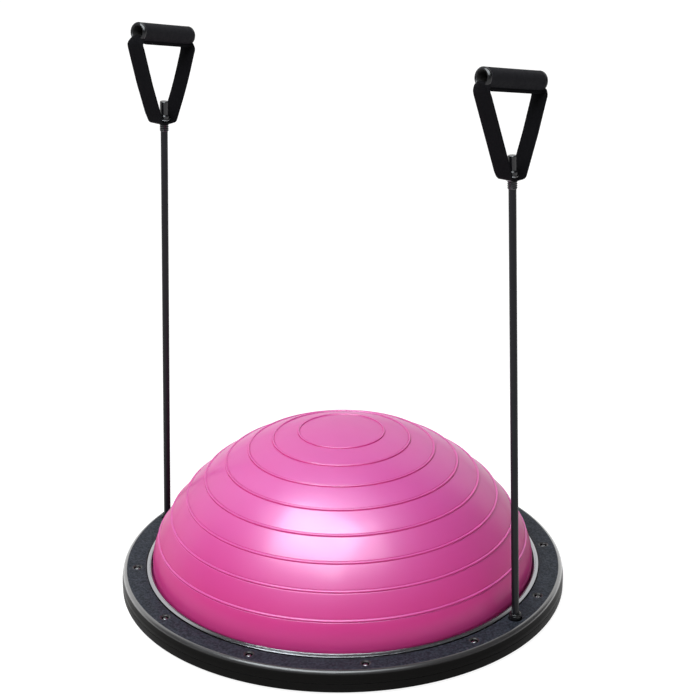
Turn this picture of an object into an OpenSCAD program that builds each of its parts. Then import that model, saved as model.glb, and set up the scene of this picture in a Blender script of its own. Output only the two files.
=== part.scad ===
// Balance dome trainer: a round platform with an inflated half ball held under a
// screwed ring, and two elastic tubes that end in webbing handles.
// Millimetres. +Z is up. The origin is on the floor, under the middle of the platform.
// The left tube is anchored on the -X side, and the right one near the +X side.

/* [Platform] */
// Largest diameter of the platform's wall
base_d = 638; // [630:1:650]
// Height that the feet lift the wall off the floor
foot_drop = 6; // [4:0.5:10]
// Height of the ring's flat top above the wall's lower edge
rim_h = 28.4; // [28:0.2:30]
// Thickness of the platform's bottom plate
plate_t = 4; // [3:0.5:5]
// Number of rubber feet
foot_count = 5; // [4:1:8]
// Azimuth of the first foot, in degrees
foot_az = -97; // [-180:1:180]
// Diameter of a foot
foot_d = 24; // [16:1:26]

/* [Ring] */
// Inner diameter of the ring's flat top
ring_inner_d = 569.2; // [568:0.2:572]
// Radius of the ring's rounded shoulder
shoulder_r = 6.5; // [4:0.5:7]
// Diameter of the circle of screws and tube anchors
bolt_circle_d = 594; // [590:1:598]
// Number of places on the screw circle, one of which is the left tube's anchor
screw_places = 12; // [8:1:12]
// Outer diameter of the raised trim ring around the dome
trim_outer_d = 566; // [564:0.2:567]
// Inner diameter of the trim ring
trim_inner_d = 553.2; // [552:0.2:556]
// Height of the trim ring above the ring's flat top
trim_rise = 3.2; // [2:0.2:5]

/* [Dome] */
// Radius of the ball that the dome is a cap of
ball_r = 297; // [295:0.5:298]
// Height of the dome's top above the wall's lower edge
dome_top_h = 232.4; // [226:0.2:236]
// Diameter of the dome where it goes in under the trim ring
dome_foot_d = 548.6; // [547:0.2:550]
// Thickness of the dome's skin
dome_t = 2.5; // [2:0.1:4]
// Number of raised grip rings on the dome
ridge_count = 8; // [4:1:8]
// Angle from the dome's top to the first grip ring
ridge_first = 11.7; // [10:0.1:12]
// Angle between grip rings
ridge_step = 7.3; // [6:0.1:7.3]
// Height that a grip ring stands out of the skin
ridge_h = 0.9; // [0.4:0.1:2]

/* [Tubes] */
// Outer diameter of the elastic tubes
tube_d = 10; // [8:0.5:10]
// Left tube: length from the ring's top to the strap
left_tube_len = 617; // [500:1:700]
// Right tube: length from the ring's top to the strap
right_tube_len = 607; // [500:1:700]
// Left tube: lean towards the middle, in degrees
left_lean = 2.6; // [0:0.1:6]
// Right tube: lean towards the middle, in degrees
right_lean = 2.3; // [0:0.1:6]
// Azimuth of the left anchor, in degrees
left_az = 178.6; // [174:0.2:186]
// Azimuth of the right anchor, in degrees
right_az = -14; // [-16:1:-12]

/* [Handles] */
// Length of a grip over its end caps
grip_len = 111; // [100:1:130]
// Diameter of a grip
grip_d = 26; // [25:0.5:32]
// Height of a grip's middle above the flat bottom of its strap
handle_h = 123; // [110:1:140]
// Width of the webbing
strap_w = 26; // [20:1:30]
// Thickness of the webbing
strap_t = 1.8; // [1.4:0.1:2]
// How far a grip sits out of square with its tube, in degrees
grip_tilt = 11; // [0:1:15]
// Azimuth that the left grip points to, in degrees
left_grip_az = 80; // [0:1:180]
// Azimuth that the right grip points to, in degrees
right_grip_az = 68; // [0:1:180]

/* [Hidden] */
LEFT = 0;
RIGHT = 1;
$fn = 96;
eps = 0.5;   // how far a cutter runs past the face it cuts
gap = 0.3;   // between pieces that move apart
fit = 0.05;  // radial clearance of a piece in its hole

// Platform and ring, as radii and as heights above the wall's lower edge
base_r = base_d / 2;
bolt_r = bolt_circle_d / 2;
wall_t = 4;
parting_h = 11;      // height of the joint line between the platform and the ring
seat_h = 16;         // top of the ribs that the dome's floor lies on
floor_t = 1.9;       // thickness of the dome's floor
flange_h = 3.4;      // thickness of the flange round the dome's foot
flange_low = seat_h + floor_t + 0.4;
flange_in_r = 264;
flange_out_r = 281;
ledge_low = flange_low + flange_h + gap;
ledge_h = rim_h - 3.2;           // the trim ring sits on this ledge
ring_t = 3.4;                    // thickness of the ring's flat top
ring_edge_r = base_r - 1.5 - shoulder_r;
trim_mid_r = (trim_outer_d + trim_inner_d) / 4;

// Screws
boss_h = 19.8;       // height of the platform's bosses
screw_r = 1.9;
head_r = 3.9;
head_top = rim_h - 1.8;
head_h = 2.4;
recess_r = 4.6;
dish_r = 6.6;
screw_step = 360 / screw_places;
screw_az = [for (i = [0:screw_places - 1]) if (abs(i * screw_step - left_az) > 8) i * screw_step];

// Dome
ball_z = dome_top_h - ball_r;    // height of the ball's centre
dome_foot_r = dome_foot_d / 2;
cap_end = 66.3;                  // angle from the top where the cap turns into its wall
cap_end_h = ball_z + ball_r * cos(cap_end);

// Valve in the middle of the dome's floor
valve_hole_r = 14;
valve_r = 4;

// Tube anchors, with heights above the wall's lower edge
anchor_az = [left_az, right_az];
tube_r = tube_d / 2;
collar_r = 8.1;
collar_h = 8.5;      // height of the collar above the ring
collar_low = rim_h - 3;
cup_r = 9.75;        // recess round the collar in the ring
bush_r = 6.5;
stopper_r = 9.8;
stopper_top = 15.8;
well_r = 10.2;       // well in the platform that the stopper sits in

// Tubes and handles. Heights in a handle are above the flat bottom of its strap.
tube_len = [left_tube_len, right_tube_len];
lean = [left_lean, right_lean];
grip_az = [left_grip_az, right_grip_az];
tube_start = -19;    // the tube's lower end, from the ring's top
tube_past = 16;      // how far the tube runs on above the strap's bottom
tube_rings = 28;     // rings along the leaning part of the tube
tube_sides = 12;
base_h = 2 * strap_t;
grommet_r = 8.5;
grommet_lip = 1;
plug_low = base_h + grommet_lip + gap;
plug_r = 5.7;
plug_foot_r = 7.2;
plug_top = 30;
ferrule_r = 5.9;
ferrule_len = 11;
base_near = 15;      // from the tube's middle to the near corner of the strap's flat bottom
base_far = 10;       // and to the far corner
grip_r = grip_d / 2;
cap_t = 5;
core_r = 10;
core_bore_r = 8.8;
neck_w = 12.6;       // width of the webbing where it is folded inside the grip
neck_z = -3.9;       // the folded webbing lies this far below the grip's axis
strap_out = grip_len / 2 + gap + strap_t / 2 + 0.2;

// The corner at b, rounded with radius r, as points from the side of a to the side of c
function unit(v) = v / norm(v);
function corner(a, b, c, r, n = 6) =
    let (p = unit(a - b), q = unit(c - b))
    let (half = acos(p * q) / 2, mid = b + unit(p + q) * r / sin(half))
    let (from = b + p * r / tan(half) - mid, to = b + q * r / tan(half) - mid)
    let (turn = 180 - 2 * half, way = sign(cross(from, to)))
    [for (i = [0:n]) mid + turned(from, way * turn * i / n)];
function turned(v, a) = [v[0] * cos(a) - v[1] * sin(a), v[0] * sin(a) + v[1] * cos(a)];
// A band of thickness t along a line of points
function along(line, i) = unit(line[min(i + 1, len(line) - 1)] - line[max(i - 1, 0)]);
function beside(line, off) =
    [for (i = [0:len(line) - 1]) line[i] + off * [-along(line, i)[1], along(line, i)[0]]];
function reversed(list) = [for (i = [len(list) - 1:-1:0]) list[i]];
function band(line, t) = concat(beside(line, t / 2), reversed(beside(line, -t / 2)));
// A point of the grip's frame, in the frame of the strap's bottom
function from_grip(p) = turned(p, -grip_tilt) + [0, handle_h];

// The webbing's route: down one end of the grip, across the bottom and up the other end
near_top = from_grip([-strap_out, -7]);
near_low = from_grip([-strap_out, -grip_r - 1]);
near_base = [-base_near, strap_t / 2];
far_base = [base_far, strap_t / 2];
far_low = from_grip([strap_out, -grip_r - 1]);
far_top = from_grip([strap_out, -7]);
legs_line = concat(
    [near_top],
    corner(near_top, near_low, near_base, 12),
    corner(near_low, near_base, far_base, 5),
    corner(near_base, far_base, far_low, 5),
    corner(far_base, far_low, far_top, 12),
    [far_top]
);
// The webbing's route through the grip
neck_line = concat(
    [from_grip([-strap_out, -9])],
    corner(from_grip([-strap_out, -9]), from_grip([-strap_out, neck_z]), from_grip([0, neck_z]), 1.5),
    corner(from_grip([0, neck_z]), from_grip([strap_out, neck_z]), from_grip([strap_out, -9]), 1.5),
    [from_grip([strap_out, -9])]
);

// The elastic tube's route, in its anchor's frame: up through the collar, then leaning in
function tube_route(side) = concat(
    [[0, 0, tube_start], [0, 0, collar_h]],
    [for (i = [1:tube_rings])
        let (up = (tube_len[side] - collar_h + tube_past) * i / tube_rings)
        [-up * sin(lean[side]), 0, collar_h + up * cos(lean[side])]]
);
function ring_points(at) = [for (k = [0:tube_sides - 1])
    at + tube_r * [cos(k * 360 / tube_sides), sin(k * 360 / tube_sides), 0]];
function side_faces(rings) = [for (i = [0:rings - 2], k = [0:tube_sides - 1])
    let (n = (k + 1) % tube_sides)
    [i * tube_sides + k, (i + 1) * tube_sides + k, (i + 1) * tube_sides + n, i * tube_sides + n]];

// Places
module on_wall() { translate([0, 0, foot_drop]) children(); }
module at_anchor(side) {
    on_wall() rotate([0, 0, anchor_az[side]]) translate([bolt_r, 0, 0]) children();
}
module at_handle(side) {
    at_anchor(side) translate([0, 0, rim_h + collar_h]) rotate([0, -lean[side], 0])
        translate([0, 0, tube_len[side] - collar_h])
            rotate([0, 0, grip_az[side] - anchor_az[side]]) children();
}
module at_grip(side) {
    at_handle(side) translate([0, 0, handle_h]) rotate([0, grip_tilt, 0]) rotate([0, 90, 0]) children();
}
module at_screws() {
    on_wall() for (a = screw_az) rotate([0, 0, a]) translate([bolt_r, 0, 0]) children();
}
module hollow(r_out, r_in, low, high) {
    translate([0, 0, low]) difference() {
        cylinder(r = r_out, h = high - low);
        translate([0, 0, -eps]) cylinder(r = r_in, h = high - low + 2 * eps);
    }
}

// Base
module platform_section() {
    polygon([
        [valve_hole_r, 0], [base_r - 0.9, 0], [base_r - 0.3, 0.8], [base_r, 4],
        [base_r, parting_h - 0.3], [base_r - wall_t, parting_h - 0.3],
        [base_r - wall_t, rim_h - ring_t - 4], [base_r - wall_t - 2.5, rim_h - ring_t - 4],
        [base_r - wall_t - 2.5, plate_t], [valve_hole_r, plate_t]
    ]);
}
module platform_ribs() {
    for (r = [flange_out_r + 1, 225, 150, 75]) hollow(r, r - 3, 0, seat_h);
    hollow(flange_in_r + 3, flange_in_r, 0, seat_h);
    hollow(valve_hole_r + 4, valve_hole_r, 0, seat_h);
    for (a = [0:30:359]) rotate([0, 0, a + 15]) translate([valve_hole_r + 2, -1.5, 0])
        cube([flange_out_r - valve_hole_r - 2, 3, seat_h]);
}
module platform() {
    color("#1d1b1b") difference() {
        union() {
            on_wall() rotate_extrude() platform_section();
            on_wall() platform_ribs();
            at_screws() cylinder(r = 7, h = boss_h);
            for (s = [LEFT, RIGHT]) at_anchor(s) cylinder(r = 13.5, h = boss_h);
        }
        at_screws() translate([0, 0, plate_t + 2]) cylinder(r = screw_r + fit, h = boss_h);
        for (s = [LEFT, RIGHT]) at_anchor(s) translate([0, 0, -eps])
            cylinder(r = well_r, h = boss_h + 2 * eps);
    }
}
module clamp_ring_section() {
    shoulder = [for (a = [0:9:90]) shoulder_r * [sin(a), cos(a)] + [ring_edge_r, rim_h - shoulder_r]];
    polygon(concat([[ring_inner_d / 2, rim_h]], shoulder, [
        [base_r - 0.3, parting_h + 5],
        [base_r, parting_h + 0.3], [base_r - wall_t + gap, parting_h + 0.3],
        [base_r - wall_t + gap, rim_h - ring_t], [ring_inner_d / 2 + 2, rim_h - ring_t],
        [ring_inner_d / 2 + 2, ledge_low], [dome_foot_r + 1.3, ledge_low],
        [dome_foot_r + 1.3, ledge_h], [ring_inner_d / 2, ledge_h]
    ]));
}
module clamp_ring() {
    color("#2c2b2e") difference() {
        union() {
            on_wall() rotate_extrude() clamp_ring_section();
            at_screws() translate([0, 0, boss_h + gap]) cylinder(r = 8, h = rim_h - boss_h - 1);
            for (s = [LEFT, RIGHT]) at_anchor(s) translate([0, 0, boss_h + gap])
                cylinder(r = 12.5, h = rim_h - boss_h - 1);
        }
        at_screws() {
            translate([0, 0, boss_h]) cylinder(r = screw_r + 0.2, h = rim_h);
            translate([0, 0, head_top - head_h]) cylinder(r = recess_r, h = rim_h);
            translate([0, 0, rim_h - 1.4]) cylinder(r1 = recess_r, r2 = dish_r, h = 1.4);
            translate([0, 0, rim_h]) cylinder(r = dish_r, h = eps);
        }
        for (s = [LEFT, RIGHT]) at_anchor(s) {
            translate([0, 0, boss_h]) cylinder(r = bush_r + fit, h = rim_h);
            translate([0, 0, collar_low]) cylinder(r = cup_r, h = rim_h);
        }
    }
}
module inner_trim_ring() {
    trim_w = (trim_outer_d - trim_inner_d) / 2;
    top = rim_h + trim_rise;
    color("#3a3d3d") on_wall() rotate_extrude() {
        translate([trim_inner_d / 2, ledge_h]) square([trim_w, top - ledge_h - 1.4]);
        translate([trim_inner_d / 2 + 1.4, top - 2]) square([trim_w - 2.8, 2]);
        for (r = [trim_inner_d / 2 + 1.4, trim_outer_d / 2 - 1.4])
            translate([r, top - 1.4]) circle(r = 1.4);
    }
}
module ring_screws() {
    color("silver") at_screws() difference() {
        union() {
            translate([0, 0, plate_t + 4]) cylinder(r = screw_r, h = head_top - plate_t - 5);
            translate([0, 0, head_top - head_h]) cylinder(r = head_r, h = head_h - 0.8);
            translate([0, 0, head_top - 0.8]) cylinder(r1 = head_r, r2 = head_r - 1.2, h = 0.8);
        }
        for (a = [0, 90]) rotate([0, 0, a]) translate([-2, -0.4, head_top - 1.2]) cube([4, 0.8, 2]);
    }
}
module rubber_feet() {
    foot_ring_r = base_r - 5 - foot_d / 2;
    color("#101010") for (i = [0:foot_count - 1])
        rotate([0, 0, foot_az + i * 360 / foot_count]) translate([foot_ring_r, 0, 0]) {
            cylinder(r1 = foot_d / 2 - 1.5, r2 = foot_d / 2, h = 2);
            translate([0, 0, 2]) cylinder(r = foot_d / 2, h = foot_drop - 2);
        }
}

// Dome
module ball_and_foot(ball, foot, low) {
    // half section of a solid ball cap on a solid foot that is cut off at height low
    edge = sqrt(ball * ball - pow(cap_end_h - ball_z, 2));
    intersection() {
        translate([0, ball_z]) circle(r = ball, $fn = 240);
        translate([0, cap_end_h]) square([ball_r, ball_r]);
    }
    polygon([
        [0, low], [foot, low], [foot, 43], [foot - 0.6, 48], [edge + 0.15, cap_end_h],
        [edge - 12, cap_end_h + 3], [0, cap_end_h + 3]
    ]);
}
module dome_section() {
    difference() {
        ball_and_foot(ball_r, dome_foot_r, flange_low + 0.5);
        ball_and_foot(ball_r - dome_t, dome_foot_r - dome_t, flange_low - 1);
    }
    polygon([
        [flange_in_r, flange_low], [flange_out_r, flange_low],
        [flange_out_r, flange_low + flange_h], [flange_in_r, flange_low + flange_h]
    ]);
    for (i = [0:ridge_count - 1]) {
        a = ridge_first + i * ridge_step;
        translate([(ball_r + ridge_h - 1.5) * sin(a), ball_z + (ball_r + ridge_h - 1.5) * cos(a)])
            circle(r = 1.5, $fn = 24);
    }
}
module dome_shell() { color("#d2468c") on_wall() rotate_extrude() dome_section(); }
module dome_floor() {
    color("#c04080") on_wall()
        hollow(flange_out_r, valve_r + 3 + fit, seat_h + 0.1, seat_h + 0.1 + floor_t);
}
module valve_seat() {
    color("#c8c8c8") on_wall() difference() {
        union() {
            translate([0, 0, 4]) cylinder(r = valve_r + 3, h = seat_h + floor_t - 3.5);
            translate([0, 0, seat_h + floor_t + 0.2]) cylinder(r = 12, h = 1.5);
            translate([0, 0, seat_h - 1.7]) cylinder(r = 12, h = 1.5);
        }
        translate([0, 0, 4 - eps]) cylinder(r = valve_r + fit, h = seat_h + floor_t);
    }
}
module valve_plug() {
    color("#ececec") on_wall() {
        translate([0, 0, 3.4]) cylinder(r = valve_r, h = seat_h - 3);
        translate([0, 0, 1.4]) cylinder(r = 8, h = 2.3);
    }
}

// Tube anchors
module anchor_collar(side) {
    color("#161616") at_anchor(side) difference() {
        union() {
            translate([0, 0, collar_low + 0.1]) cylinder(r = collar_r, h = 3 + collar_h - 3.1);
            translate([0, 0, rim_h + collar_h - 3]) cylinder(r = collar_r - 1, h = 2);
            translate([0, 0, rim_h + collar_h - 2]) cylinder(r1 = collar_r, r2 = collar_r - 1.2, h = 2);
        }
        translate([0, 0, collar_low]) cylinder(r = tube_r + fit, h = 20);
    }
}
module anchor_bush(side) {
    color("#303030") at_anchor(side) hollow(bush_r, tube_r + fit, stopper_top + 0.1, collar_low);
}
module tube_stopper(side) {
    color("#242424") at_anchor(side) difference() {
        translate([0, 0, 5]) cylinder(r = stopper_r, h = stopper_top - 5);
        translate([0, 0, rim_h + tube_start - 0.1]) cylinder(r = tube_r + fit, h = 20);
    }
}

// Tube, with what is fixed on its upper end
module elastic_tube(side) {
    route = tube_route(side);
    rings = len(route);
    color("#1a1a1c") at_anchor(side) translate([0, 0, rim_h]) polyhedron(
        points = [for (p = route) each ring_points(p)],
        faces = concat(
            [[for (k = [0:tube_sides - 1]) k]],
            side_faces(rings),
            [[for (k = [tube_sides - 1:-1:0]) (rings - 1) * tube_sides + k]]
        )
    );
}
module ferrule(side) {
    low = -grommet_lip - gap - ferrule_len;
    color("#202020") at_handle(side) {
        hollow(ferrule_r, tube_r + fit, low, low + ferrule_len);
        hollow(ferrule_r + 0.6, tube_r + fit, low + 3, low + 5);
    }
}
module end_plug(side) {
    color("#2b2b2e") at_handle(side) difference() {
        union() {
            translate([0, 0, plug_low]) cylinder(r = plug_foot_r, h = 4.5);
            translate([0, 0, plug_low + 4.5]) cylinder(r1 = plug_foot_r, r2 = plug_r, h = 1.5);
            translate([0, 0, plug_low]) cylinder(r = plug_r, h = plug_top - plug_low - 1);
            translate([0, 0, plug_top - 1]) cylinder(r1 = plug_r, r2 = plug_r - 1, h = 1);
        }
        cylinder(r = tube_r + fit, h = tube_past + 0.6);
    }
}

// Handle
module grommet(side) {
    color("#8a8a8c") at_handle(side) {
        hollow(6, tube_r + 0.4, -grommet_lip, base_h + grommet_lip);
        hollow(grommet_r, tube_r + 0.4, -grommet_lip, 0);
        hollow(grommet_r, tube_r + 0.4, base_h, base_h + grommet_lip);
    }
}
module upright(width) {
    translate([0, width / 2, 0]) rotate([90, 0, 0]) linear_extrude(width) children();
}
module strap(side) {
    color("#141414") at_handle(side) difference() {
        union() {
            upright(strap_w) polygon(band(legs_line, strap_t));
            upright(neck_w) polygon(band(neck_line, strap_t));
            translate([-8.6, -strap_w / 2, strap_t - 0.1]) cube([17.2, strap_w, strap_t + 0.1]);
        }
        translate([0, 0, -eps]) cylinder(r = 6 + fit, h = base_h + 2 * eps);
    }
}
module foam_grip(side) {
    half = grip_len / 2 - cap_t;
    color("#232327") at_grip(side) hollow(grip_r, core_r + fit, -half, half);
}
module grip_core(side) {
    half = grip_len / 2 - 1.2;
    color("#303030") at_grip(side) hollow(core_r, core_bore_r, -half, half);
}
module grip_caps(side) {
    color("#1c1c1e") at_grip(side) for (end = [0, 1]) mirror([0, 0, end])
        translate([0, 0, grip_len / 2 - cap_t]) difference() {
            union() {
                cylinder(r = grip_r + 0.2, h = cap_t - 1.5);
                translate([0, 0, cap_t - 1.5]) cylinder(r1 = grip_r + 0.2, r2 = grip_r - 1.3, h = 1.5);
            }
            translate([0, 0, -eps]) cylinder(r = core_r + fit, h = cap_t - 1.1 + eps);
            translate([0, 0, -eps]) cylinder(r = core_bore_r, h = cap_t + 2 * eps);
        }
}

platform();
clamp_ring();
inner_trim_ring();
ring_screws();
rubber_feet();
dome_shell();
dome_floor();
valve_seat();
valve_plug();
anchor_collar(LEFT);  // anchor_collar_left
anchor_bush(LEFT);  // anchor_bush_left
tube_stopper(LEFT);  // tube_stopper_left
elastic_tube(LEFT);  // tube_left
ferrule(LEFT);  // ferrule_left
end_plug(LEFT);  // end_plug_left
grommet(LEFT);  // grommet_left
strap(LEFT);  // strap_left
foam_grip(LEFT);  // foam_grip_left
grip_core(LEFT);  // grip_core_left
grip_caps(LEFT);  // grip_caps_left
anchor_collar(RIGHT);  // anchor_collar_right
anchor_bush(RIGHT);  // anchor_bush_right
tube_stopper(RIGHT);  // tube_stopper_right
elastic_tube(RIGHT);  // tube_right
ferrule(RIGHT);  // ferrule_right
end_plug(RIGHT);  // end_plug_right
grommet(RIGHT);  // grommet_right
strap(RIGHT);  // strap_right
foam_grip(RIGHT);  // foam_grip_right
grip_core(RIGHT);  // grip_core_right
grip_caps(RIGHT);  // grip_caps_right
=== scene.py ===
import math

import bpy
import bmesh
import numpy as np
from mathutils import Matrix, Vector


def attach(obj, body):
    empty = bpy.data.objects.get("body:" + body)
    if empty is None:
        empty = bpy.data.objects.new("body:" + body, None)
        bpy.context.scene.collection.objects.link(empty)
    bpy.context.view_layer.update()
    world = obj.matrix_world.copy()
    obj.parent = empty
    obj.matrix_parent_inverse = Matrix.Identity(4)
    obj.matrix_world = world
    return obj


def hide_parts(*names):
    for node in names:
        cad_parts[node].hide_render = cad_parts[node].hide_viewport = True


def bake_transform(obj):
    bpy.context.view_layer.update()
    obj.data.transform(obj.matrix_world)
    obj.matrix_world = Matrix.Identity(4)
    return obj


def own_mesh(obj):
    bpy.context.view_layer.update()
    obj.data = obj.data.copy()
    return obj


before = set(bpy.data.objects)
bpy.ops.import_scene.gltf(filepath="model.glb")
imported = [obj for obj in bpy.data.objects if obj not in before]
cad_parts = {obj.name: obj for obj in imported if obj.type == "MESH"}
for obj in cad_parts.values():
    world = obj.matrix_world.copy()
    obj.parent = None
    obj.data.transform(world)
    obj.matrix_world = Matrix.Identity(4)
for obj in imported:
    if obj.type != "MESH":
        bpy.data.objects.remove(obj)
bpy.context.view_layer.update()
scene = bpy.context.scene
scene.view_settings.view_transform = "Standard"
scene.view_settings.look = "None"
MM = 0.001

# ---------------------------------------------------------------- sizes, in millimetres and degrees
# These are the CAD source's, except LIP and the straps' knees, base and bow, which fit the photograph.
FOOT = 6.0
BASE_R = 319.0
LIP = 1.5  # how far the wall's foot hangs below the bottom plate
RIM = 28.4 + FOOT
BOLT_R = 297.0
COLLAR = 8.5
PARTING = 11.0 + FOOT
SIDES = {
    "left": {"az": 178.6, "lean": 2.6, "length": 617.0, "grip_az": 80.0,
             "knees": ((-0.4, -15.0), (0.4, -15.0)), "base": (-17.2, 11.6), "bow": (1.7, 3.2)},
    "right": {"az": -14.0, "lean": 2.3, "length": 607.0, "grip_az": 68.0,
              "knees": ((0.5, -9.5), (1.1, -8.0)), "base": (-13.6, 11.0), "bow": (0.0, 1.5)},
}
GRIP_LEN, GRIP_R, GRIP_H, TILT = 111.0, 13.0, 123.0, 11.0
STRAP_W, STRAP_T = 26.0, 1.8
SCREW_AZ = [a for a in range(0, 360, 30) if a != 180]
BALL_R, BALL_Z = 297.0, 232.4 - 297.0 + FOOT


def rot(axis, degrees):
    return Matrix.Rotation(math.radians(degrees), 4, axis)


def move(x, y, z):
    return Matrix.Translation((x, y, z))


def anchor_frame(side):
    return rot("Z", SIDES[side]["az"]) @ move(BOLT_R, 0, 0)


def handle_frame(side):
    s = SIDES[side]
    return (
        anchor_frame(side) @ move(0, 0, RIM + COLLAR) @ rot("Y", -s["lean"])
        @ move(0, 0, s["length"] - COLLAR) @ rot("Z", s["grip_az"] - s["az"])
    )


def screw_frame(a):
    return rot("Z", a) @ move(BOLT_R, 0, 0)


def grip_frame(side):
    return handle_frame(side) @ move(0, 0, GRIP_H) @ rot("Y", TILT)


# ---------------------------------------------------------------- camera
VIEW_AZ, PITCH, ROLL = 24.2, math.radians(20.64), math.radians(-0.45)
LENS, SENSOR = 85.05, 36.0
CAM_PLACE = (0.0130, -2.1478, 1.1571 + FOOT * MM)  # metres, before the turn to VIEW_AZ
right = Vector((1, 0, 0))
up = Vector((0, math.sin(PITCH), math.cos(PITCH)))
ahead = Vector((0, math.cos(PITCH), -math.sin(PITCH)))
right, up = math.cos(ROLL) * right + math.sin(ROLL) * up, math.cos(ROLL) * up - math.sin(ROLL) * right
turn = rot("Z", VIEW_AZ)
cam_data = bpy.data.cameras.new("camera")
cam_data.sensor_width, cam_data.lens = SENSOR, LENS
cam_data.clip_start, cam_data.clip_end = 0.05, 60.0
cam = bpy.data.objects.new("camera", cam_data)
scene.collection.objects.link(cam)
axes = Matrix((right, up, -ahead)).transposed().to_4x4()
cam.matrix_world = turn @ move(*CAM_PLACE) @ axes
scene.camera = cam


# ---------------------------------------------------------------- mesh helpers
def new_object(name, verts, faces, angle=40, matrix=None, uvs=None):
    """A mesh from points in millimetres."""
    me = bpy.data.meshes.new(name)
    m = matrix or Matrix.Identity(4)
    me.from_pydata([(m @ Vector(v)) * MM for v in verts], [], faces)
    if uvs is not None:
        layer = me.uv_layers.new(name="route")
        for poly in me.polygons:
            for k, loop in enumerate(poly.loop_indices):
                layer.data[loop].uv = uvs[poly.index][k]
    me.update()
    bm = bmesh.new()
    bm.from_mesh(me)
    bmesh.ops.recalc_face_normals(bm, faces=bm.faces)
    bm.to_mesh(me)
    bm.free()
    me.shade_smooth()
    me.set_sharp_from_angle(angle=math.radians(angle))
    obj = bpy.data.objects.new(name, me)
    scene.collection.objects.link(obj)
    return obj


def fillet(points, radii, steps=5, closed=True):
    """The outline with its corners rounded."""
    out = []
    n = len(points)
    for i, (p, r) in enumerate(zip(points, radii)):
        p = Vector(p)
        if r <= 0 or (not closed and i in (0, n - 1)):
            out.append(tuple(p))
            continue
        a = (Vector(points[i - 1]) - p)
        b = (Vector(points[(i + 1) % n]) - p)
        la, lb = a.length, b.length
        a.normalize()
        b.normalize()
        half = math.acos(max(-1, min(1, a.dot(b)))) / 2
        if half > math.radians(88):
            out.append(tuple(p))
            continue
        cut = min(r / math.tan(half), la * 0.49, lb * 0.49)
        rr = cut * math.tan(half)
        c = p + (a + b).normalized() * rr / math.sin(half)
        v0, v1 = p + a * cut - c, p + b * cut - c
        total = math.pi - 2 * half
        sign = 1 if v0.x * v1.y - v0.y * v1.x > 0 else -1
        for k in range(steps + 1):
            t = sign * total * k / steps
            out.append((c.x + v0.x * math.cos(t) - v0.y * math.sin(t),
                        c.y + v0.x * math.sin(t) + v0.y * math.cos(t)))
    return out


def lathe_data(profile, segments, closed=True):
    """Points and faces of a turned shape; profile is (radius, height) in millimetres."""
    verts, faces, rows = [], [], []
    for r, z in profile:
        if r < 1e-6:
            rows.append([len(verts)])
            verts.append((0, 0, z))
        else:
            rows.append(list(range(len(verts), len(verts) + segments)))
            verts += [(r * math.cos(2 * math.pi * k / segments),
                       r * math.sin(2 * math.pi * k / segments), z) for k in range(segments)]
    pairs = list(zip(rows, rows[1:] + rows[:1])) if closed else list(zip(rows, rows[1:]))
    for a, b in pairs:
        if len(a) == 1 and len(b) == 1:
            continue
        for k in range(segments):
            n = (k + 1) % segments
            if len(a) == 1:
                faces.append((a[0], b[n], b[k]))
            elif len(b) == 1:
                faces.append((a[k], a[n], b[0]))
            else:
                faces.append((a[k], a[n], b[n], b[k]))
    return verts, faces


def lathe(name, profile, segments=96, matrix=None, angle=40, closed=True):
    v, f = lathe_data(profile, segments, closed)
    return new_object(name, v, f, angle, matrix)


def block(name, xs, ys, zs, matrix=None):
    """A box between the two values of each of xs, ys and zs."""
    verts = [(x, y, z) for x in xs for y in ys for z in zs]
    faces = [(0, 1, 3, 2), (4, 6, 7, 5), (0, 4, 5, 1), (2, 3, 7, 6), (0, 2, 6, 4), (1, 5, 7, 3)]
    return new_object(name, verts, faces, 30, matrix)


def joined(name, parts):
    """Several objects made into one."""
    bm = bmesh.new()
    for p in parts:
        bm.from_mesh(p.data)
    me = bpy.data.meshes.new(name)
    bm.to_mesh(me)
    bm.free()
    for p in parts:
        bpy.data.objects.remove(p)
    obj = bpy.data.objects.new(name, me)
    scene.collection.objects.link(obj)
    return obj


def copies(obj, matrices):
    """The object's mesh at each place, matrices in millimetres, as one object with its name."""
    bm = bmesh.new()
    name = obj.name
    for m in matrices:
        me = obj.data.copy()
        me.transform(Matrix.Scale(MM, 4) @ m @ Matrix.Scale(1 / MM, 4))
        bm.from_mesh(me)
        bpy.data.meshes.remove(me)
    me = bpy.data.meshes.new(name)
    bm.to_mesh(me)
    bm.free()
    bpy.data.objects.remove(obj)
    out = bpy.data.objects.new(name, me)
    scene.collection.objects.link(out)
    return out


def cut(obj, cutters, angle=40):
    """The object less the cutters."""
    for c in cutters:
        mod = obj.modifiers.new("cut", "BOOLEAN")
        mod.operation, mod.object, mod.solver = "DIFFERENCE", c, "EXACT"
    bpy.context.view_layer.update()
    done = obj.evaluated_get(bpy.context.evaluated_depsgraph_get())
    me = bpy.data.meshes.new_from_object(done)
    obj.modifiers.clear()
    obj.data = me
    for c in cutters:
        bpy.data.objects.remove(c)
    me.shade_smooth()
    me.set_sharp_from_angle(angle=math.radians(angle))
    return obj


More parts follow.
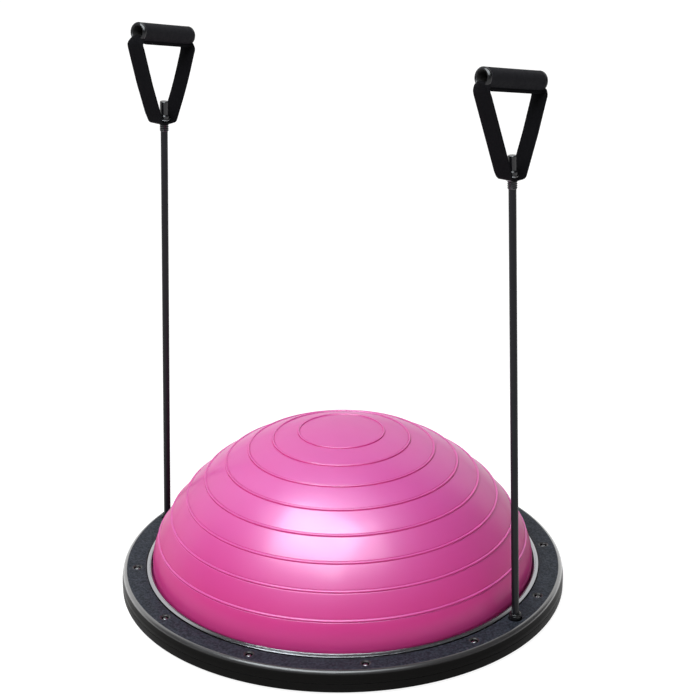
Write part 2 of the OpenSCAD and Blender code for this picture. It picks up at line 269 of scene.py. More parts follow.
# ---------------------------------------------------------------- material helpers
class Mat:
    """A Principled material with a few shorthand ways to add procedural detail."""

    def __init__(self, name, color, rough, **sockets):
        self.m = bpy.data.materials.new(name)
        self.m.use_nodes = True
        self.nt = self.m.node_tree
        self.p = self.nt.nodes["Principled BSDF"]
        self.p.inputs["Base Color"].default_value = (*color, 1)
        self.p.inputs["Roughness"].default_value = rough
        for k, v in sockets.items():
            self.p.inputs[k.replace("_", " ")].default_value = v
        self.coord = None

    def node(self, kind, **props):
        n = self.nt.nodes.new(kind)
        for k, v in props.items():
            if k in n.bl_rna.properties.keys():
                setattr(n, k, v)
            else:
                n.inputs[k.replace("_", " ")].default_value = v
        return n

    def link(self, a, b):
        self.nt.links.new(a, b)

    def coords(self, kind="Object"):
        if self.coord is None:
            self.coord = self.node("ShaderNodeTexCoord")
        return self.coord.outputs[kind]

    def noise(self, scale, detail=3, rough=0.55):
        n = self.node("ShaderNodeTexNoise", Scale=scale, Detail=detail, Roughness=rough)
        self.link(self.coords(), n.inputs["Vector"])
        return n.outputs["Fac"]

    def remap(self, value, lo, hi, a, b):
        n = self.node("ShaderNodeMapRange")
        n.inputs["From Min"].default_value, n.inputs["From Max"].default_value = lo, hi
        n.inputs["To Min"].default_value, n.inputs["To Max"].default_value = a, b
        self.link(value, n.inputs["Value"])
        return n.outputs["Result"]

    def math(self, op, a, b=None):
        n = self.node("ShaderNodeMath", operation=op)
        for k, v in enumerate((a, b)):
            if v is None:
                continue
            if isinstance(v, (int, float)):
                n.inputs[k].default_value = v
            else:
                self.link(v, n.inputs[k])
        return n.outputs[0]

    def mix(self, fac, a, b):
        n = self.node("ShaderNodeMix", data_type="RGBA")
        n.inputs[6].default_value, n.inputs[7].default_value = (*a, 1), (*b, 1)
        self.link(fac, n.inputs[0])
        return n.outputs[2]

    def bump(self, height, distance, strength=1.0):
        n = self.node("ShaderNodeBump", Strength=strength, Distance=distance)
        self.link(height, n.inputs["Height"])
        return n.outputs["Normal"]

    def set(self, socket, value):
        self.link(value, self.p.inputs[socket])


def plastic(name, color, rough, grain=900, depth=0.00004, spread=0.06, level=0.5, vary=0.12):
    """Moulded plastic: fine grain, a little unevenness in gloss and colour."""
    m = Mat(name, color, rough, Specular_IOR_Level=level)
    cloud = m.noise(9, 4)
    m.set("Base Color", m.mix(m.remap(cloud, 0.3, 0.7, 0, 1), [c * (1 - vary) for c in color],
                              [c * (1 + vary) for c in color]))
    m.set("Roughness", m.remap(m.noise(35, 5), 0.3, 0.7, rough - spread, rough + spread))
    m.set("Normal", m.bump(m.noise(grain, 2), depth))
    return m


def dress(obj, mat, slot, body, *nodes):
    obj.data.materials.clear()
    obj.data.materials.append(mat.m)
    if body:
        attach(obj, body)
    if nodes:
        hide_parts(*nodes)
    return obj


# ---------------------------------------------------------------- materials
def dome_material():
    """Inflated vinyl: a soft gloss that fades low down and at grazing angles, and a faint milky depth."""
    m = Mat("dome_skin", (0.52, 0.04, 0.21), 0.45, Specular_IOR_Level=0.5, Coat_Weight=0.5,
            Coat_Roughness=0.18, Coat_IOR=1.5, Subsurface_Weight=0.12, Subsurface_Scale=0.006)
    m.p.inputs["Subsurface Radius"].default_value = (1.0, 0.25, 0.5)
    m.p.inputs["Specular Tint"].default_value = (0.84, 0.81, 0.98, 1)
    cloud = m.remap(m.noise(5, 5, 0.6), 0.32, 0.68, 0, 1)
    nz = m.node("ShaderNodeSeparateXYZ")
    m.link(m.node("ShaderNodeNewGeometry").outputs["True Normal"], nz.inputs[0])
    facing = m.node("ShaderNodeLayerWeight", Blend=0.5).outputs["Facing"]
    gloss = m.remap(nz.outputs["Z"], 0.4, 0.8, 0.25, 1)
    # painted light: the base colour is painted paler towards the top and darker low down, as painted top light and
    # painted shade, with a little random tone mixed in
    painted_top_light = m.remap(nz.outputs["Z"], 0.45, 0.85, 0, 1)
    shade = m.math("ADD", m.math("MULTIPLY", painted_top_light, 0.9), m.math("MULTIPLY", cloud, 0.1))
    m.set("Base Color", m.mix(shade, (0.51, 0.033, 0.197), (0.63, 0.061, 0.345)))
    m.set("Roughness", m.remap(m.noise(14, 5, 0.65), 0.3, 0.7, 0.44, 0.52))
    m.set("Specular IOR Level", m.math("MULTIPLY", gloss, m.remap(facing, 0.35, 0.7, 1.25, 0.1)))
    m.set("Coat Weight", m.math("MULTIPLY", gloss, 0.5))
    m.set("Normal", m.bump(m.noise(420, 3), 0.00005, 0.6))
    return m


def ring_material():
    """Black moulded plastic: a grained flat top, a polished outer shoulder and a dark wall."""
    m = Mat("ring_plastic", (0.02, 0.02, 0.025), 0.5, Specular_IOR_Level=0.3)
    geo = m.node("ShaderNodeNewGeometry")
    nz = m.node("ShaderNodeSeparateXYZ")
    m.link(geo.outputs["True Normal"], nz.inputs[0])
    top = m.remap(nz.outputs["Z"], 0.985, 0.998, 0, 1)
    wall = m.remap(nz.outputs["Z"], 0.24, 0.5, 1, 0)
    grain = m.noise(620, 3, 0.7)
    fine = m.math("ADD", grain, m.noise(1700, 2))
    m.set("Normal", m.bump(m.math("MULTIPLY", fine, top), 0.00022, 0.8))
    flat = m.node("ShaderNodeMix", data_type="RGBA")
    m.link(top, flat.inputs[0])
    flat.inputs[6].default_value = (0.03, 0.029, 0.03, 1)
    speckle = m.remap(m.noise(330, 2, 0.7), 0.36, 0.64, 0, 1)
    m.link(m.mix(speckle, (0.004, 0.007, 0.011), (0.034, 0.042, 0.058)), flat.inputs[7])
    side = m.node("ShaderNodeMix", data_type="RGBA")
    m.link(wall, side.inputs[0])
    m.link(flat.outputs[2], side.inputs[6])
    side.inputs[7].default_value = (0.005, 0.0048, 0.0046, 1)
    m.set("Base Color", side.outputs[2])
    edge = m.math("MULTIPLY", m.math("SUBTRACT", 1.0, top), m.math("SUBTRACT", 1.0, wall))
    # only the outer shoulder is polished; the dishes and the inner edge are nearly as dull as the top
    spot = m.node("ShaderNodeSeparateXYZ")
    m.link(m.coords(), spot.inputs[0])
    x2, y2 = (m.math("MULTIPLY", spot.outputs[k], spot.outputs[k]) for k in ("X", "Y"))
    edge = m.math("MULTIPLY", edge, m.remap(m.math("ADD", x2, y2), 0.306 ** 2, 0.31 ** 2, 0.12, 1))
    facing = m.node("ShaderNodeLayerWeight", Blend=0.5).outputs["Facing"]
    edge = m.math("MULTIPLY", edge, m.remap(facing, 0.1, 0.6, 0.1, 1))
    rough = m.node("ShaderNodeMix", data_type="FLOAT")
    m.link(top, rough.inputs[0])
    m.link(m.remap(m.noise(28, 4), 0.3, 0.7, 0.3, 0.4), rough.inputs[2])
    m.link(m.remap(m.noise(60, 5), 0.3, 0.7, 0.5, 0.62), rough.inputs[3])
    m.set("Roughness", rough.outputs[0])
    off_wall = m.math("MULTIPLY", m.math("SUBTRACT", 1.0, wall), 0.13)
    level = m.math("ADD", m.math("MULTIPLY", edge, 0.8), off_wall)
    m.set("Specular IOR Level", m.math("ADD", level, 0.03))
    m.set("Coat Weight", edge)
    m.p.inputs["Coat Roughness"].default_value = 0.2
    m.p.inputs["Coat IOR"].default_value = 2.6
    return m


def webbing_material():
    """Ribbed nylon webbing: rows of yarn across, slightly offset from one column to the next."""
    m = Mat("webbing", (0.008, 0.008, 0.009), 0.72, Specular_IOR_Level=0.03, Sheen_Weight=0.004,
            Sheen_Roughness=0.5)
    uv = m.node("ShaderNodeSeparateXYZ")
    m.link(m.coords("UV"), uv.inputs[0])
    across = m.math("MULTIPLY", uv.outputs["X"], math.pi / 1.3)
    stagger = m.math("MULTIPLY", m.math("SIGN", m.math("SINE", across)), 0.5 * math.pi)
    along = m.math("ADD", m.math("MULTIPLY", uv.outputs["Y"], 2 * math.pi / 1.5), stagger)
    rows = m.math("ABSOLUTE", m.math("SINE", along))
    columns = m.math("ABSOLUTE", m.math("SINE", across))
    weave = m.math("MULTIPLY", m.math("POWER", rows, 0.6), m.math("POWER", columns, 0.4))
    fuzz = m.noise(2500, 3)
    m.set("Normal", m.bump(m.math("ADD", weave, m.math("MULTIPLY", fuzz, 0.35)), 0.0003, 0.8))
    # painted shade: the yarn crests are painted lighter and the hollows between the rows and columns darker
    m.set("Base Color", m.mix(weave, (0.0012, 0.0012, 0.0014), (0.005, 0.0048, 0.0062)))
    m.set("Roughness", m.remap(fuzz, 0.3, 0.7, 0.62, 0.85))
    return m


def foam_material():
    m = Mat("foam", (0.01, 0.01, 0.012), 0.7, Specular_IOR_Level=0.07, Sheen_Weight=0.008, Sheen_Roughness=0.6)
    pores = m.node("ShaderNodeTexVoronoi", Scale=1100.0, feature="F1")
    m.link(m.coords(), pores.inputs["Vector"])
    deep = m.remap(pores.outputs["Distance"], 0.0, 0.45, 0, 1)
    soft = m.noise(160, 4)
    height = m.math("ADD", deep, m.math("MULTIPLY", soft, 0.8))
    m.set("Normal", m.bump(height, 0.00022, 0.8))
    # painted shade: the pores are painted darker than the foam between them, as shade in the hollows
    m.set("Base Color", m.mix(deep, (0.003, 0.003, 0.0038), (0.0078, 0.0076, 0.0098)))
    m.set("Roughness", m.remap(soft, 0.3, 0.7, 0.6, 0.78))
    return m


MATS = {
    "platform": plastic("platform_plastic", (0.005, 0.0048, 0.0046), 0.4, 700, 0.00002, 0.05, 0.03),
    "ring": ring_material(),
    "trim": Mat("trim_silver", (0.4, 0.4, 0.42), 0.24, Metallic=1.0),
    "screw": Mat("screw_steel", (0.3, 0.3, 0.31), 0.2, Metallic=1.0),
    "rubber": plastic("foot_rubber", (0.012, 0.012, 0.012), 0.7, 1200, 0.0001, 0.06, 0.3),
    "dome": dome_material(),
    "floor_skin": plastic("floor_skin", (0.55, 0.05, 0.24), 0.35, 400, 0.00003),
    "valve": plastic("valve_plastic", (0.62, 0.62, 0.6), 0.35, 500, 0.00003),
    "collar": plastic("collar_plastic", (0.006, 0.006, 0.007), 0.22, 600, 0.00002, 0.04, 0.4),
    "tube": plastic("tube_rubber", (0.006, 0.006, 0.008), 0.34, 900, 0.00003, 0.08, 0.17),
    "end": plastic("end_plug_plastic", (0.01, 0.01, 0.012), 0.2, 500, 0.00002, 0.04, 0.5),
    "grommet": Mat("grommet_metal", (0.35, 0.35, 0.36), 0.3, Metallic=1.0),
    "webbing": webbing_material(),
    "foam": foam_material(),
    "core": plastic("core_plastic", (0.02, 0.02, 0.02), 0.45, 700, 0.00003),
    "cap": plastic("cap_plastic", (0.007, 0.007, 0.008), 0.24, 600, 0.00002, 0.04, 0.35),
}
METAL_ROUGHNESS = (("trim", 120, 0.15, 0.18), ("screw", 260, 0.18, 0.36), ("grommet", 200, 0.18, 0.36))
for key, scale, lo, hi in METAL_ROUGHNESS:
    MATS[key].set("Roughness", MATS[key].remap(MATS[key].noise(scale, 4), 0.3, 0.7, lo, hi))


# ---------------------------------------------------------------- elastic tubes (the cords)
TUBE_R = 5.0
BORE = TUBE_R + 0.07


def tube_mesh(name, points, radius, sides=28):
    """A round tube along points, in millimetres, with closed ends."""
    verts, faces = [], []
    n = len(points)
    for i, p in enumerate(points):
        t = (points[min(i + 1, n - 1)] - points[max(i - 1, 0)]).normalized()
        a = t.cross(Vector((0, 1, 0.01))).normalized()
        b = t.cross(a)
        for k in range(sides):
            w = 2 * math.pi * k / sides
            verts.append(p + radius * (math.cos(w) * a + math.sin(w) * b))
    for i in range(n - 1):
        for k in range(sides):
            m = (k + 1) % sides
            faces.append((i * sides + k, i * sides + m, (i + 1) * sides + m, (i + 1) * sides + k))
    faces.append(tuple(range(sides)))
    faces.append(tuple((n - 1) * sides + k for k in range(sides)))
    return new_object(name, verts, faces, 50)


def tube_points(side, start, end, step):
    """The tube's middle line, by length from the ring's top: straight up to the collar's top, then leaning."""
    base = anchor_frame(side) @ Vector((0, 0, RIM))
    d = (handle_frame(side).to_3x3() @ Vector((0, 0, 1))).normalized()
    count = max(2, round((end - start) / step))
    out = []
    for i in range(count + 1):
        h = start + (end - start) * i / count
        out.append(base + Vector((0, 0, min(h, COLLAR))) + d * max(0, h - COLLAR))
    return out


def length_of(points):
    """The length along points, in metres."""
    return sum((b - a).length for a, b in zip(points, points[1:])) * MM


BELOW, PAST = 18.5, 15.8  # how far the tube runs on below the ring's top, and above the strap's bottom
ROOT_END = 60.0  # the tube is two meshes, cut at this height above the ring
for side, s in SIDES.items():
    low = tube_points(side, -BELOW, ROOT_END, 1.5)
    high = tube_points(side, ROOT_END, s["length"] + PAST, 8.0)
    root = tube_mesh(f"tube_root_{side}", low, TUBE_R)
    upper = tube_mesh(f"tube_upper_{side}", high, TUBE_R)
    for piece in (root, upper):
        piece.data.materials.append(MATS["tube"].m)
        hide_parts(f"tube_{side}")
    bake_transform(root)
    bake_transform(upper)
    s["cords"] = (root, upper, low, high, length_of(low), length_of(high))


# ---------------------------------------------------------------- platform
def platform():
    wall = fillet(
        [(14, FOOT), (311, FOOT), (312, FOOT - LIP), (318.2, FOOT - LIP), (318.9, FOOT - LIP + 1.4),
         (BASE_R, PARTING - 0.2), (315.0, PARTING - 0.2), (315.0, FOOT + 21), (312.5, FOOT + 21),
         (312.5, FOOT + 4), (14, FOOT + 4)],
        [0.6, 0.2, 0.2, 0.3, 0.5, 0.3, 0.3, 0.4, 0.4, 1, 0.6], 6)
    shell = lathe("platform", wall, 360, angle=35)
    wells = [lathe("well", [(0, 0), (10.2, 0), (10.2, 60), (0, 60)], 64, anchor_frame(s)) for s in SIDES]
    shell = cut(shell, wells, 35)
    extra = []
    low, rib_top, boss_top = FOOT + 2, FOOT + 16, FOOT + 19.8
    for r, t in ((282, 3), (225, 3), (150, 3), (75, 3), (267, 3), (18, 4)):
        extra.append(lathe("rib", [(r, low), (r, rib_top), (r - t, rib_top), (r - t, low)], 180))
    for a in range(15, 375, 30):
        extra.append(block("rib", (16, 281), (-1.5, 1.5), (low, rib_top), rot("Z", a)))
    for s in SIDES:
        extra.append(lathe("boss", [(10.2, FOOT), (13.5, FOOT), (13.5, boss_top), (10.2, boss_top)], 64,
                           anchor_frame(s)))
    for a in SCREW_AZ:
        extra.append(lathe("boss", [(1.95, low), (7, low), (7, boss_top), (1.95, boss_top)], 40, screw_frame(a)))
    return dress(joined("platform_shell", [shell] + extra), MATS["platform"], "platform_plastic", "base", "platform")


def clamp_ring():
    edge = 311.0
    shoulder = [(edge + 6.5 * math.sin(t), RIM - 6.5 + 6.5 * math.cos(t))
                for t in np.linspace(0, math.pi / 2, 15)]
    outer = fillet([(shoulder[-1][0], shoulder[-1][1]), (318.7, PARTING + 5), (BASE_R, PARTING + 0.2),
                    (315.3, PARTING + 0.2)], [0, 3, 0.3, 0.3], 6, closed=False)
    inner = fillet([(315.3, PARTING + 0.2), (315.3, RIM - 3.4), (286.6, RIM - 3.4), (286.6, 27.9), (275.6, 27.9),
                    (275.6, RIM - 3.2), (284.6, RIM - 3.2), (284.6, RIM), (edge, RIM)],
                   [0.3, 0.5, 0.3, 0.3, 0.3, 0.2, 0.1, 0.45, 0], 4, closed=False)
    profile = shoulder + outer[1:-1] + inner[:-1]
    ring = lathe("ring", profile, 480, angle=38)
    dish = [(0, RIM - 5), (4.6, RIM - 5), (4.6, RIM - 1.7), (5.0, RIM - 1.15), (5.8, RIM - 0.55),
            (6.7, RIM - 0.12), (7.3, RIM + 0.02), (7.3, RIM + 2), (0, RIM + 2)]
    cup = [(0, RIM - 6), (6.55, RIM - 6), (6.55, RIM - 3), (9.75, RIM - 3), (9.75, RIM - 0.5), (10.2, RIM + 0.02),
           (10.2, RIM + 2), (0, RIM + 2)]
    cutters = [lathe("dish", dish, 48, screw_frame(a)) for a in SCREW_AZ]
    cutters += [lathe("cup", cup, 64, anchor_frame(s)) for s in SIDES]
    ring = cut(ring, cutters, 38)
    under_screw = [(2.1, RIM - 8.3), (8, RIM - 8.3), (8, RIM - 3.3), (4.6, RIM - 3.3), (4.6, RIM - 4.2),
                   (2.1, RIM - 4.2)]
    under_cup = [(6.55, RIM - 8.3), (12.5, RIM - 8.3), (12.5, RIM - 3.3), (6.55, RIM - 3.3)]
    extra = [lathe("seat", under_screw, 40, screw_frame(a)) for a in SCREW_AZ]
    extra += [lathe("seat", under_cup, 48, anchor_frame(s)) for s in SIDES]
    return dress(joined("ring", [ring] + extra), MATS["ring"], "ring_plastic", "base", "clamp_ring")


def trim_ring():
    lo, hi, top = 276.6, 283.0, RIM + 3.2
    outline = fillet([(lo, RIM - 3.1), (hi, RIM - 3.1), (hi, RIM + 0.9), (279.6, top - 0.75), (279.2, top - 0.75),
                      (278.7, top), (lo, top - 0.35)],
                     [0.3, 0.3, 0.3, 0.2, 0.2, 0.25, 0.4], 6)
    return dress(lathe("trim_ring", outline, 480, angle=50), MATS["trim"], "trim_plastic", "base", "inner_trim_ring")


def screws():
    top = RIM - 1.8
    head = fillet([(0, top - 12), (1.8, top - 12), (1.9, top - 2.4), (3.9, top - 2.4), (3.9, top - 1.2),
                   (2.2, top - 0.1), (0, top)], [0, 0.2, 0, 0.2, 0.7, 0.8, 0], 5, closed=False)
    head = lathe("screws", head, 48, closed=False, angle=50)
    arms = [block("arm", (-2.1, 2.1), (-0.42, 0.42), (top - 1.3, top + 1), rot("Z", a)) for a in (0, 90)]
    head = cut(head, arms, 40)
    head.name = "ring_screw_set"
    # the cross slots stop at different angles, as driven screws do
    places = [screw_frame(a) @ rot("Z", 37 * i) for i, a in enumerate(SCREW_AZ)]
    return dress(copies(head, places), MATS["screw"], "screw_steel", "base", "ring_screws")


def feet():
    foot = lathe("foot_set", fillet([(0, 0.9), (7, 0.9), (7.6, 0), (10.6, 0), (12, 2.2), (12, FOOT), (0, FOOT)],
                                    [0, 0.4, 0.4, 1.1, 0.9, 0.1, 0], 5, closed=False), 72, closed=False)
    places = [rot("Z", -97 + 72 * i) @ move(302, 0, 0) for i in range(5)]
    return dress(copies(foot, places), MATS["rubber"], "foot_rubber", "base", "rubber_feet")


# ---------------------------------------------------------------- dome
def dome():
    end, thick, foot_r = 64.0, 2.5, 274.3
    marks = [11.7 + 7.3 * k for k in range(8)]
    bead, groove = 1.6, 2.6  # each grip ring's half width, without and with the fine groove beside it

    def off_mark(t):
        return min(abs(math.radians(t - a) * BALL_R) for a in marks)

    def skin(t):
        """The radius at this angle from the top, with the round bead of each grip ring."""
        off = off_mark(t)
        if off < bead:
            return BALL_R + bead * math.sqrt(1 - (off / bead) ** 2) ** 0.9
        if off < groove:
            return BALL_R - 0.3 * math.sin(math.pi * (off - bead))
        return BALL_R

    steps = []
    for t in np.linspace(0, end, 1400):
        if off_mark(t) < 3.0 or not steps or t - steps[-1] > 0.34:
            steps.append(float(t))
    outer = [(skin(t) * math.sin(math.radians(t)), BALL_Z + skin(t) * math.cos(math.radians(t))) for t in steps]
    bend = (foot_r - outer[-1][0]) / (1 - math.sin(math.radians(end)))
    low = outer[-1][1] - bend * math.cos(math.radians(end))
    outer += [(foot_r - bend * (1 - math.sin(math.radians(t))), low + bend * math.cos(math.radians(t)))
              for t in np.linspace(end, 90, 28)[1:]]
    flange_low, flange_top = FOOT + 18.4, FOOT + 21.8
    foot = fillet([outer[-1], (foot_r, flange_top),
                   (280.9, flange_top), (280.9, flange_low), (264.1, flange_low), (264.1, flange_top),
                   (271.8, flange_top), (271.8, FOOT + 36), (266.5, FOOT + 60)],
                  [0, 1.5, 0.8, 0.8, 0.8, 0.8, 1.5, 25, 0], 8, closed=False)[1:]
    inner = [((BALL_R - thick) * math.sin(math.radians(t)), BALL_Z + (BALL_R - thick) * math.cos(math.radians(t)))
             for t in np.linspace(end - 1.5, 0, 60)]
    profile = outer + foot + inner
    profile[0], profile[-1] = (0, profile[0][1]), (0, profile[-1][1])
    obj = lathe("dome_skin", profile, 512, closed=False, angle=70)
    dress(obj, MATS["dome"], "dome_skin", "dome", "dome_shell")
    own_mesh(obj)
    return obj


def inner_parts():
    floor_z = FOOT + 16.1
    disc = fillet([(7.05, floor_z), (280.9, floor_z), (280.9, floor_z + 1.9), (7.05, floor_z + 1.9)], [0.3] * 4, 3)
    dress(lathe("dome_floor_skin", disc, 180), MATS["floor_skin"], "floor_skin", "base", "dome_floor")
    seat = fillet([(4.05, FOOT + 4), (7, FOOT + 4), (7, FOOT + 14.3), (12, FOOT + 14.3), (12, FOOT + 15.8),
                   (7, FOOT + 15.8), (7, FOOT + 18.1), (12, FOOT + 18.1), (12, FOOT + 19.6), (4.05, FOOT + 19.6)],
                  [0.4, 0.5, 0.5, 0.4, 0.4, 0, 0, 0.4, 0.5, 0.4], 4)
    dress(lathe("valve_seat_ring", seat, 72), MATS["valve"], "valve_plastic", "base", "valve_seat")
    plug = fillet([(0, FOOT + 1.9), (1.6, FOOT + 1.4), (8, FOOT + 1.4), (8, FOOT + 3.7), (4, FOOT + 3.7),
                   (4, FOOT + 15.6), (3.2, FOOT + 16.4), (0, FOOT + 16.4)], [0, 1, 0.8, 0.6, 0.4, 0.3, 0.3, 0], 5,
                  closed=False)
    dress(lathe("valve_plug_body", plug, 72, closed=False), MATS["valve"], "valve_plastic", "valve", "valve_plug")


# ---------------------------------------------------------------- each side's fittings
def anchor(side):
    m = anchor_frame(side)
    top = RIM + COLLAR
    body = fillet([(BORE, RIM - 2.9), (8.1, RIM - 2.9), (8.1, top - 3.2), (7.2, top - 3.0), (7.2, top - 2.2),
                   (8.0, top - 2.0), (8.0, top - 0.9), (6.2, top - 0.05), (BORE, top - 0.05)],
                  [0.3, 0.4, 0.5, 0.3, 0.3, 0.4, 0.9, 0.7, 0.5], 5)
    dress(lathe(f"collar_{side}", body, 72, m), MATS["collar"], "collar_plastic", "base", f"anchor_collar_{side}")
    bush = fillet([(BORE, FOOT + 15.9), (6.5, FOOT + 15.9), (6.5, RIM - 3), (BORE, RIM - 3)], [0.3] * 4, 3)
    dress(lathe(f"bush_{side}", bush, 48, m), MATS["core"], "bush_plastic", "base", f"anchor_bush_{side}")
    stop = fillet([(0, FOOT + 5), (9.8, FOOT + 5), (9.8, FOOT + 15.8), (BORE, FOOT + 15.8), (BORE, RIM - 19.2),
                   (0, RIM - 19.2)], [0, 1.4, 0.6, 0.3, 0, 0], 5, closed=False)
    return dress(lathe(f"stopper_{side}", stop, 64, m, closed=False), MATS["core"], "stopper_plastic", "base",
                 f"tube_stopper_{side}")


def tube_end(side):
    m = handle_frame(side)
    low = -1.3 - 11
    sleeve = [(BORE, low), (5.7, low)]
    for k in range(4):
        z = low + 0.6 + 2.55 * k
        sleeve += [(5.9, z), (6.4, z + 0.8), (6.0, z + 1.7), (5.6, z + 2.1)]
    sleeve += [(5.9, -1.5), (5.7, -1.3), (BORE, -1.3)]
    ferrule = lathe(f"ferrule_{side}_sleeve", fillet(sleeve, [0.25] * len(sleeve), 3), 48, m)
    dress(ferrule, MATS["end"], "ferrule_plastic", f"{side}_tube_end", f"ferrule_{side}")
    z0 = 2 * STRAP_T + 1.3
    plug = fillet([(BORE, z0), (7.2, z0), (7.2, z0 + 4.2), (5.8, z0 + 6.6), (5.7, 29), (5.0, 30), (0, 30),
                   (0, 16.6), (BORE, 16.6)], [0.3, 0.8, 1.0, 1.2, 0.5, 0.5, 0, 0, 0], 6)
    end = lathe(f"end_plug_{side}_body", plug, 64, m)
    return ferrule, dress(end, MATS["end"], "end_plug_plastic", f"{side}_tube_end", f"end_plug_{side}")


def grommet(side):
    m = handle_frame(side)
    h = 2 * STRAP_T
    ring = fillet([(5.3, -1), (8.5, -1), (8.5, 0), (6, 0), (6, h), (8.5, h), (8.5, h + 1), (5.3, h + 1)],
                  [0.9, 0.6, 0.2, 0, 0, 0.2, 0.6, 0.9], 5)
    return dress(lathe(f"grommet_{side}_ring", ring, 64, m), MATS["grommet"], "grommet_metal", f"{side}_handle",
                 f"grommet_{side}")


def from_grip(x, z):
    """A point of the grip's frame, in the strap's frame, both as (along, up)."""
    t = math.radians(TILT)
    return (x * math.cos(t) + z * math.sin(t), GRIP_H - x * math.sin(t) + z * math.cos(t))


def resample(points, step):
    """Points at even steps along a line, and the line's length."""
    pts = [Vector(p) for p in points]
    far = [0.0]
    for a, b in zip(pts, pts[1:]):
        far.append(far[-1] + (b - a).length)
    count = round(far[-1] / step)
    out, j = [], 0
    for i in range(count + 1):
        d = far[-1] * i / count
        while j < len(far) - 2 and far[j + 1] < d:
            j += 1
        span = far[j + 1] - far[j]
        out.append(pts[j].lerp(pts[j + 1], (d - far[j]) / span if span else 0))
    return out, far[-1]


def ramp(value, lo, hi):
    t = min(1.0, max(0.0, (value - lo) / (hi - lo)))
    return t * t * (3 - 2 * t)


def strap(side):
    """The webbing: down each end of the grip to the flat bottom, and curled up where it runs through the grip."""
    out = GRIP_LEN / 2 + STRAP_T / 2 + 0.5
    curl_r, mouth = 7.4, 4.5
    s = SIDES[side]
    knees = [from_grip(sign * out + k[0], k[1]) for sign, k in zip((-1, 1), s["knees"])]
    base = [(x, STRAP_T / 2) for x in s["base"]]
    mids = [((k[0] + b[0]) / 2 + sign * bow, (k[1] + b[1]) / 2)
            for sign, k, b, bow in zip((-1, 1), knees, base, s["bow"])]
    line = [from_grip(0, -mouth - 2), from_grip(14 - out, -mouth - 2), from_grip(-out, -mouth), knees[0], mids[0],
            base[0], base[1], mids[1], knees[1], from_grip(out, -mouth), from_grip(out - 14, -mouth - 2),
            from_grip(0, -mouth - 2)]
    line = fillet(line, [0, 20, 3, 12, 500, 8, 6, 400, 12, 3, 20, 0], 10, closed=False)
    points, length = resample(line, 0.9)
    leg = (knees[0][1] - base[0][1]) * 1.06
    n = len(points)
    cols = 27
    verts = []
    for i, p in enumerate(points):
        t = (points[min(i + 1, n - 1)] - points[max(i - 1, 0)]).normalized()
        normal = Vector((t.y, -t.x))
        d = length * i / (n - 1)
        inside = max(0.0, 1 - max(0.0, min(d, length - d) - (GRIP_LEN / 2 - 6)) / 21)
        inside = inside * inside * (3 - 2 * inside)
        near, far = d - GRIP_LEN / 2 - 6, length - d - GRIP_LEN / 2 - 6
        twist = 0.12 * ramp(near, 0, 14) * ramp(leg - near, 0, 14) - 0.05 * ramp(far, 0, 14) * ramp(leg - far, 0, 14)
        for layer in (0.5, -0.5):
            for k in range(cols):
                w = (k / (cols - 1) - 0.5) * STRAP_W
                edge = min(1.0, (STRAP_W / 2 - abs(w)) / 1.2)
                off = layer * STRAP_T * (0.35 + 0.65 * math.sqrt(max(0.0, 1 - (1 - edge) ** 2)))
                if inside > 1e-4:
                    rad = curl_r / inside
                    y = (rad - off) * math.sin(w / rad)
                    h = rad - (rad - off) * math.cos(w / rad)
                else:
                    y, h = w, off
                q = p + normal * h * -1
                verts.append((q.x - w * twist, y, q.y))
    faces, uvs = [], []
    step = length / (n - 1)

    def vid(i, layer, k):
        return (i * 2 + layer) * cols + k

    for i in range(n - 1):
        for k in range(cols - 1):
            for layer in (0, 1):
                quad = [(i, k), (i, k + 1), (i + 1, k + 1), (i + 1, k)]
                if layer:
                    quad.reverse()
                faces.append([vid(a, layer, b) for a, b in quad])
                uvs.append([((b / (cols - 1)) * STRAP_W, a * step) for a, b in quad])
        for k in (0, cols - 1):
            quad = [vid(i, 0, k), vid(i + 1, 0, k), vid(i + 1, 1, k), vid(i, 1, k)]
            if k:
                quad.reverse()
            faces.append(quad)
            uvs.append([(0, i * step), (0, (i + 1) * step), (0.6, (i + 1) * step), (0.6, i * step)])
    body = new_object(f"strap_{side}_webbing", verts, faces, 50, handle_frame(side), uvs)
    return dress(body, MATS["webbing"], "webbing", f"{side}_handle", f"strap_{side}")


def grip(side):
    m = grip_frame(side) @ rot("Y", 90)
    half, core = GRIP_LEN / 2, 10.05
    foam = [(core, -half + 4.6), (GRIP_R - 0.6, -half + 4.6)]
    for k in range(41):
        z = -half + 5 + (2 * half - 10) * k / 40
        foam.append((GRIP_R + 0.05 - 0.12 * math.sin(math.pi * k / 40) ** 0.5, z))
    foam += [(GRIP_R - 0.6, half - 4.6), (core, half - 4.6)]
    foam = fillet(foam, [0, 0.6] + [0] * 41 + [0.6, 0], 4)
    foam = lathe(f"grip_{side}_foam", foam, 96, m, angle=60)
    dress(foam, MATS["foam"], "foam", f"{side}_grip", f"foam_grip_{side}")
    tube = fillet([(8.8, -half + 1.2), (10, -half + 1.2), (10, half - 1.2), (8.8, half - 1.2)], [0.2] * 4, 3)
    dress(lathe(f"grip_{side}_core", tube, 72, m), MATS["core"], "core_plastic", f"{side}_grip", f"grip_core_{side}")
    rim = GRIP_R + 0.2
    cap = fillet([(10.05, half - 4.5), (rim - 0.1, half - 4.5), (rim, half - 2), (rim - 2.6, half), (9.6, half),
                  (8.8, half - 1.1), (10.05, half - 1.1)], [0.2, 0.3, 2.6, 2.2, 0.5, 0.2, 0], 7)
    both = [lathe("cap", cap, 96, m), lathe("cap", cap, 96, m @ rot("X", 180))]
    return dress(joined(f"grip_{side}_caps", both), MATS["cap"], "cap_plastic", f"{side}_grip", f"grip_caps_{side}")


platform()
clamp_ring()
trim_ring()
screws()
feet()
dome()
inner_parts()
for side, s in SIDES.items():
    stopper = anchor(side)
    ferrule, end_plug = tube_end(side)
    grommet(side)
    strap(side)
    grip(side)
    root, upper, low, high, root_len, upper_len = s["cords"]

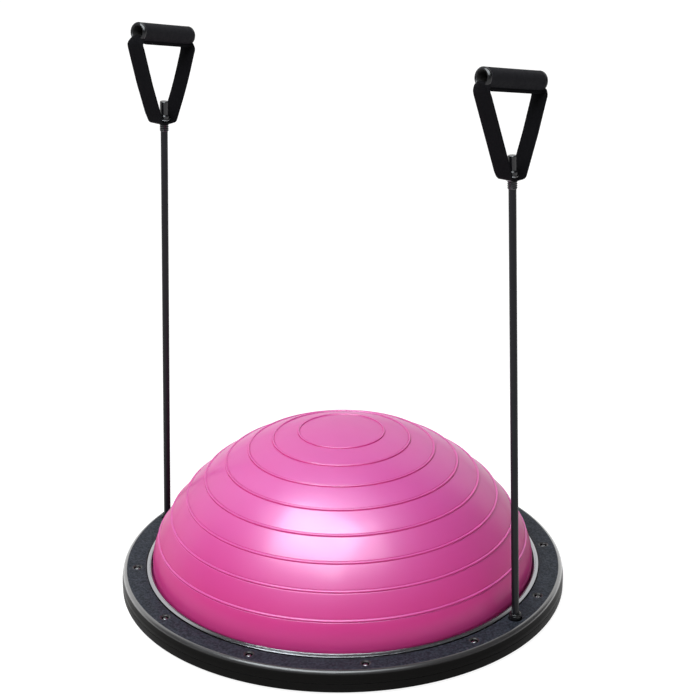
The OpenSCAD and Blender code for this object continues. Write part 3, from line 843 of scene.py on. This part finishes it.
# ---------------------------------------------------------------- floor and light
FAR = 40000
floor = new_object("floor", [(-FAR, -FAR, 0), (FAR, -FAR, 0), (FAR, FAR, 0), (-FAR, FAR, 0)], [(0, 1, 2, 3)])
floor_mat = Mat("floor_paint", (0.25, 0.25, 0.25), 0.6, Specular_IOR_Level=0.1)
floor_mat.set("Base Color", floor_mat.mix(floor_mat.noise(3, 3), (0.245, 0.245, 0.246), (0.255, 0.255, 0.255)))
floor_mat.p.inputs["Emission Color"].default_value = (1, 1, 1, 1)
floor_mat.p.inputs["Emission Strength"].default_value = 0.93
floor.data.materials.append(floor_mat.m)


def area(name, az, el, dist, size, power, color=(1, 1, 1), aim=(0, 0, 0.15)):
    """A soft box; az is measured from the camera's side, positive to its right."""
    data = bpy.data.lights.new(name, "AREA")
    data.shape, data.size, data.size_y = "RECTANGLE", size[0], size[1]
    data.energy, data.color = power, color
    obj = bpy.data.objects.new(name, data)
    scene.collection.objects.link(obj)
    a, e = math.radians(az - 90 + VIEW_AZ), math.radians(el)
    d = Vector((math.cos(a) * math.cos(e), math.sin(a) * math.cos(e), math.sin(e)))
    obj.location = Vector(aim) + d * dist
    obj.rotation_mode = "QUATERNION"
    obj.rotation_quaternion = d.to_track_quat("Z", "Y")
    return obj


COOL, WHITE = (0.89, 0.95, 0.98), (1, 1, 1)
# the keys only make highlights, and the side light only shades
area("key_left", -33, 63, 2.6, (2.1, 1.6), 128, COOL).visible_diffuse = False
area("key_right", 24, 60, 2.6, (1.0, 1.15), 19, COOL).visible_diffuse = False
area("side_left", -31, 57, 2.8, (1.6, 1.4), 88, WHITE).visible_glossy = False

world = bpy.data.worlds.new("studio")
scene.world = world
world.use_nodes = True
nt = world.node_tree
bg = nt.nodes["Background"]
coord = nt.nodes.new("ShaderNodeTexCoord")


def world_math(op, a, b=None):
    n = nt.nodes.new("ShaderNodeMath")
    n.operation = op
    for k, v in enumerate((a, b)):
        if isinstance(v, (int, float)):
            n.inputs[k].default_value = v
        elif v is not None:
            nt.links.new(v, n.inputs[k])
    return n.outputs[0]


def world_ramp(value, lo, hi, a, b):
    n = nt.nodes.new("ShaderNodeMapRange")
    n.interpolation_type = "SMOOTHSTEP"
    for key, v in (("From Min", lo), ("From Max", hi), ("To Min", a), ("To Max", b)):
        n.inputs[key].default_value = v
    nt.links.new(value, n.inputs["Value"])
    return n.outputs["Result"]


# a bright backdrop low down behind, a thin pale horizon all round, and a dim room above and in front
dot = nt.nodes.new("ShaderNodeVectorMath")
dot.operation = "DOT_PRODUCT"
BACKDROP_AZ = math.radians(90 + VIEW_AZ + 8)
dot.inputs[1].default_value = (math.cos(BACKDROP_AZ), math.sin(BACKDROP_AZ), 0)
nt.links.new(coord.outputs["Generated"], dot.inputs[0])
height = nt.nodes.new("ShaderNodeSeparateXYZ")
nt.links.new(coord.outputs["Generated"], height.inputs[0])
behind = world_ramp(dot.outputs["Value"], 0.35, 0.6, 0, 1)
low = world_ramp(height.outputs["Z"], 0.72, 0.86, 1, 0.1)
glow = world_math("MULTIPLY", world_math("MULTIPLY", behind, low), 0.95)
horizon = world_ramp(height.outputs["Z"], 0.03, 0.08, 0.9, 0)
ROOM = 0.07
nt.links.new(world_math("ADD", world_math("MAXIMUM", glow, horizon), ROOM), bg.inputs["Strength"])
bg.inputs["Color"].default_value = (1, 1, 1, 1)
